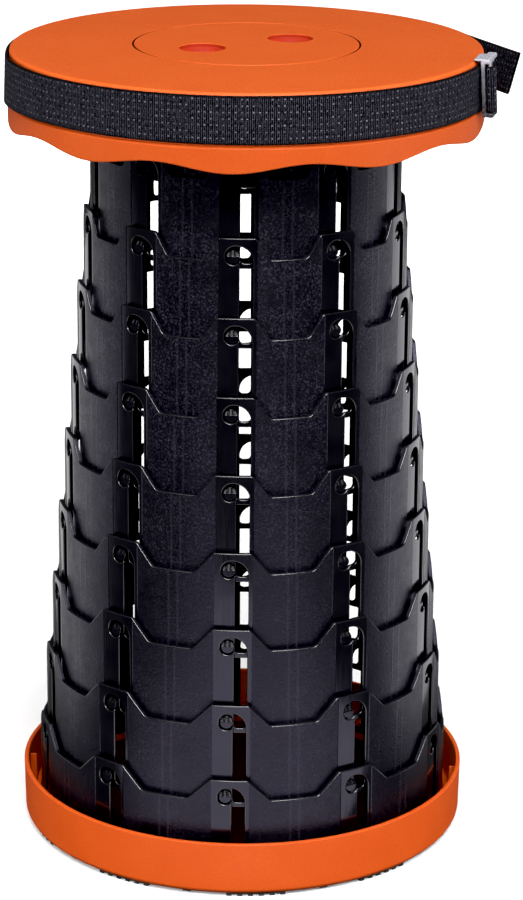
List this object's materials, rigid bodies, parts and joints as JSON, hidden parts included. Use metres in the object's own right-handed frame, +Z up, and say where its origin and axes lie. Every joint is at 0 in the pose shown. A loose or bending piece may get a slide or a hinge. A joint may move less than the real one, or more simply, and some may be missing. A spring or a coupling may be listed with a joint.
{
  "type": "collapsible telescopic stool",
  "caption": "Round stool whose tower of nested dark rings, locked by pins in hooked slots, collapses between an orange seat with a webbing strap and a shallow orange tray.",
  "frame": {"origin": "on the floor, on the common axis of the rings, tray and seat; the loose end of the strap stands out past the round body, so the box is wider on the +X side", "axes": "+Z up along the tower, the locked slots and the strap's loose end as pictured with the viewer on the -Y side, +X to the viewer's right"},
  "size_m": [0.2776, 0.262, 0.4516],
  "materials": {
    "ring_plastic": "fine speckled charcoal panels with polished bands along the locking slots",
    "shell_plastic": "fine-grained moulded plastic",
    "foot_rubber": "soft, slightly dusty",
    "screw_steel": "plain",
    "webbing": "tight ribbed webbing",
    "buckle_plastic": "smooth, satin"
  },
  "bodies": {
    "base": {"base_tray": "shell_plastic", "base_foot_pads": "foot_rubber", "base_foot_blocks": "foot_rubber", "ring_10": "ring_plastic"},
    "stage_09": {"ring_09": "ring_plastic"},
    "stage_08": {"ring_08": "ring_plastic"},
    "stage_07": {"ring_07": "ring_plastic"},
    "stage_06": {"ring_06": "ring_plastic"},
    "stage_05": {"ring_05": "ring_plastic"},
    "stage_04": {"ring_04": "ring_plastic"},
    "stage_03": {"ring_03": "ring_plastic"},
    "stage_02": {"ring_02": "ring_plastic"},
    "seat": {"ring_01": "ring_plastic", "seat_shell": "shell_plastic", "seat_cap": "shell_plastic", "seat_screws": "screw_steel", "strap": "webbing", "buckle_frame": "buckle_plastic"}
  },
  "joints": [
    {"name": "ring_09_slide", "type": "slide", "parent": "base", "child": "stage_09", "axis": [0, 0, 1], "range_m": [-0.0425, 0]},
    {"name": "ring_08_slide", "type": "slide", "parent": "stage_09", "child": "stage_08", "axis": [0, 0, 1], "range_m": [-0.0425, 0]},
    {"name": "ring_07_slide", "type": "slide", "parent": "stage_08", "child": "stage_07", "axis": [0, 0, 1], "range_m": [-0.0425, 0]},
    {"name": "ring_06_slide", "type": "slide", "parent": "stage_07", "child": "stage_06", "axis": [0, 0, 1], "range_m": [-0.0425, 0]},
    {"name": "ring_05_slide", "type": "slide", "parent": "stage_06", "child": "stage_05", "axis": [0, 0, 1], "range_m": [-0.0425, 0]},
    {"name": "ring_04_slide", "type": "slide", "parent": "stage_05", "child": "stage_04", "axis": [0, 0, 1], "range_m": [-0.0425, 0]},
    {"name": "ring_03_slide", "type": "slide", "parent": "stage_04", "child": "stage_03", "axis": [0, 0, 1], "range_m": [-0.0425, 0]},
    {"name": "ring_02_slide", "type": "slide", "parent": "stage_03", "child": "stage_02", "axis": [0, 0, 1], "range_m": [-0.0425, 0]},
    {"name": "seat_slide", "type": "slide", "parent": "stage_02", "child": "seat", "axis": [0, 0, 1], "range_m": [-0.0401, 0]}
  ]
}
